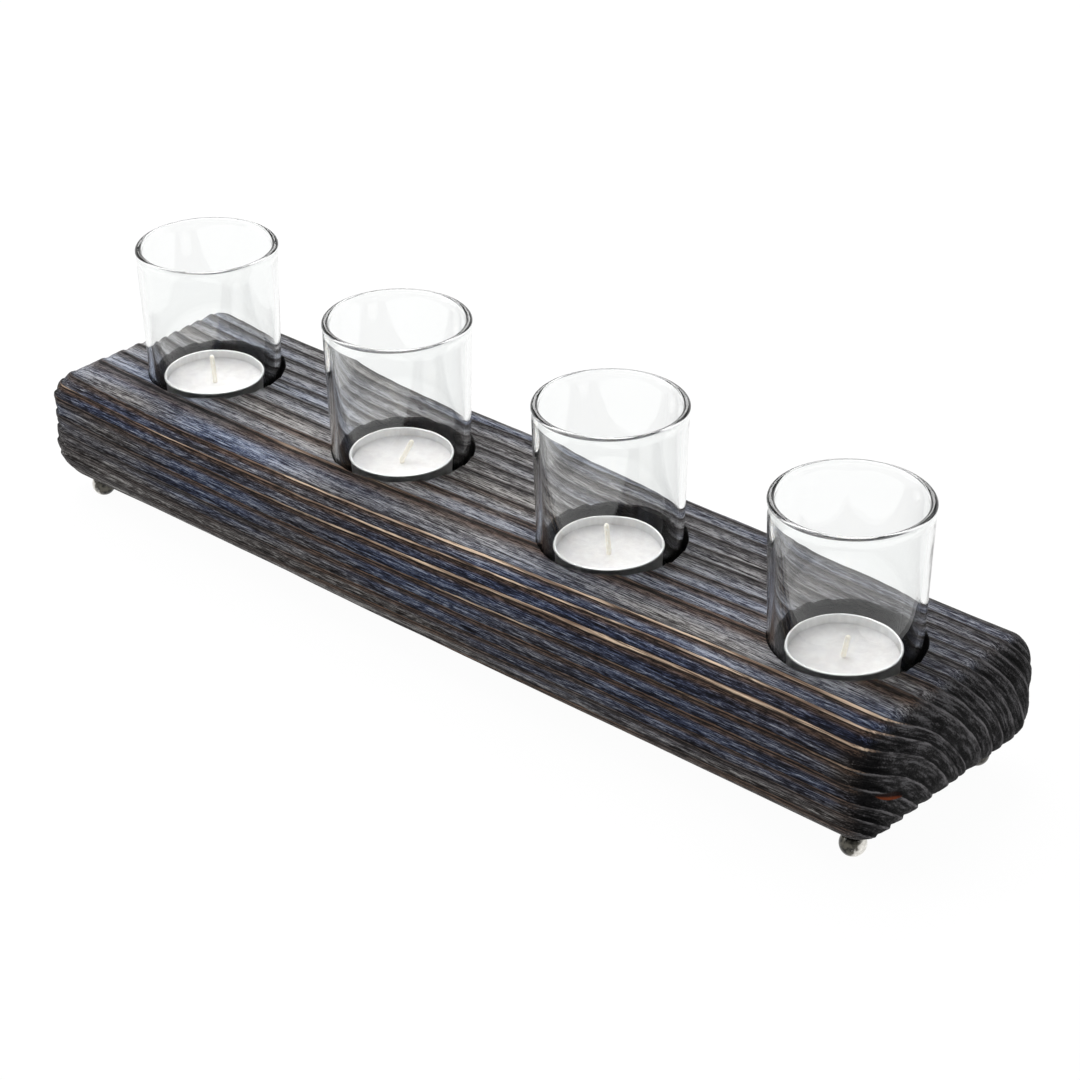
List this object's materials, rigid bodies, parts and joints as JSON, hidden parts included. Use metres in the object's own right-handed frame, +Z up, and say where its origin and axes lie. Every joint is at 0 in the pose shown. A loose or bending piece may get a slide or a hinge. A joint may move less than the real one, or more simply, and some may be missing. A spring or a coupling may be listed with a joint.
{
  "type": "votive candle rack",
  "caption": "Long charred-timber block on ball feet, with a row of round recesses that hold clear glass cups, each with a tealight.",
  "frame": {"origin": "middle of the footprint at floor level, under the four ball feet", "axes": "+X along the timber block, +Y from its front to its back, +Z up"},
  "size_m": [0.39, 0.094, 0.0995],
  "materials": {
    "charred_wood": "charred, wire-brushed and waxed, with open ridged grain",
    "clear_glass": "clear, fire-polished rim",
    "cup_foil": "bright pressed foil",
    "candle_wax": "smooth white wax, slightly translucent",
    "cotton_wick": "braided cotton, waxed, unburnt",
    "polished_nickel": "polished",
    "tinned_steel": "tinned, satin"
  },
  "bodies": {
    "block": {"block": "charred_wood", "foot_front_left": "polished_nickel", "foot_front_right": "polished_nickel", "foot_back_left": "polished_nickel", "foot_back_right": "polished_nickel", "foot_screw_front_left": "tinned_steel", "foot_screw_front_right": "tinned_steel", "foot_screw_back_left": "tinned_steel", "foot_screw_back_right": "tinned_steel"},
    "glass_1": {"glass_1": "clear_glass"},
    "glass_2": {"glass_2": "clear_glass"},
    "glass_3": {"glass_3": "clear_glass"},
    "glass_4": {"glass_4": "clear_glass"},
    "tealight_1": {"tealight_cup_1": "cup_foil", "tealight_wax_1": "candle_wax", "wick_1": "cotton_wick", "wick_tab_1": "tinned_steel"},
    "tealight_2": {"tealight_cup_2": "cup_foil", "tealight_wax_2": "candle_wax", "wick_2": "cotton_wick", "wick_tab_2": "tinned_steel"},
    "tealight_3": {"tealight_cup_3": "cup_foil", "tealight_wax_3": "candle_wax", "wick_3": "cotton_wick", "wick_tab_3": "tinned_steel"},
    "tealight_4": {"tealight_cup_4": "cup_foil", "tealight_wax_4": "candle_wax", "wick_4": "cotton_wick", "wick_tab_4": "tinned_steel"}
  },
  "joints": [
    {"name": "glass_1_lift", "type": "slide", "parent": "block", "child": "glass_1", "axis": [0, 0, 1], "range_m": [0, 0.06]},
    {"name": "glass_2_lift", "type": "slide", "parent": "block", "child": "glass_2", "axis": [0, 0, 1], "range_m": [0, 0.06]},
    {"name": "glass_3_lift", "type": "slide", "parent": "block", "child": "glass_3", "axis": [0, 0, 1], "range_m": [0, 0.06]},
    {"name": "glass_4_lift", "type": "slide", "parent": "block", "child": "glass_4", "axis": [0, 0, 1], "range_m": [0, 0.06]},
    {"name": "tealight_1_lift", "type": "slide", "parent": "glass_1", "child": "tealight_1", "axis": [0, 0, 1], "range_m": [0, 0.08]},
    {"name": "tealight_2_lift", "type": "slide", "parent": "glass_2", "child": "tealight_2", "axis": [0, 0, 1], "range_m": [0, 0.08]},
    {"name": "tealight_3_lift", "type": "slide", "parent": "glass_3", "child": "tealight_3", "axis": [0, 0, 1], "range_m": [0, 0.08]},
    {"name": "tealight_4_lift", "type": "slide", "parent": "glass_4", "child": "tealight_4", "axis": [0, 0, 1], "range_m": [0, 0.08]}
  ]
}
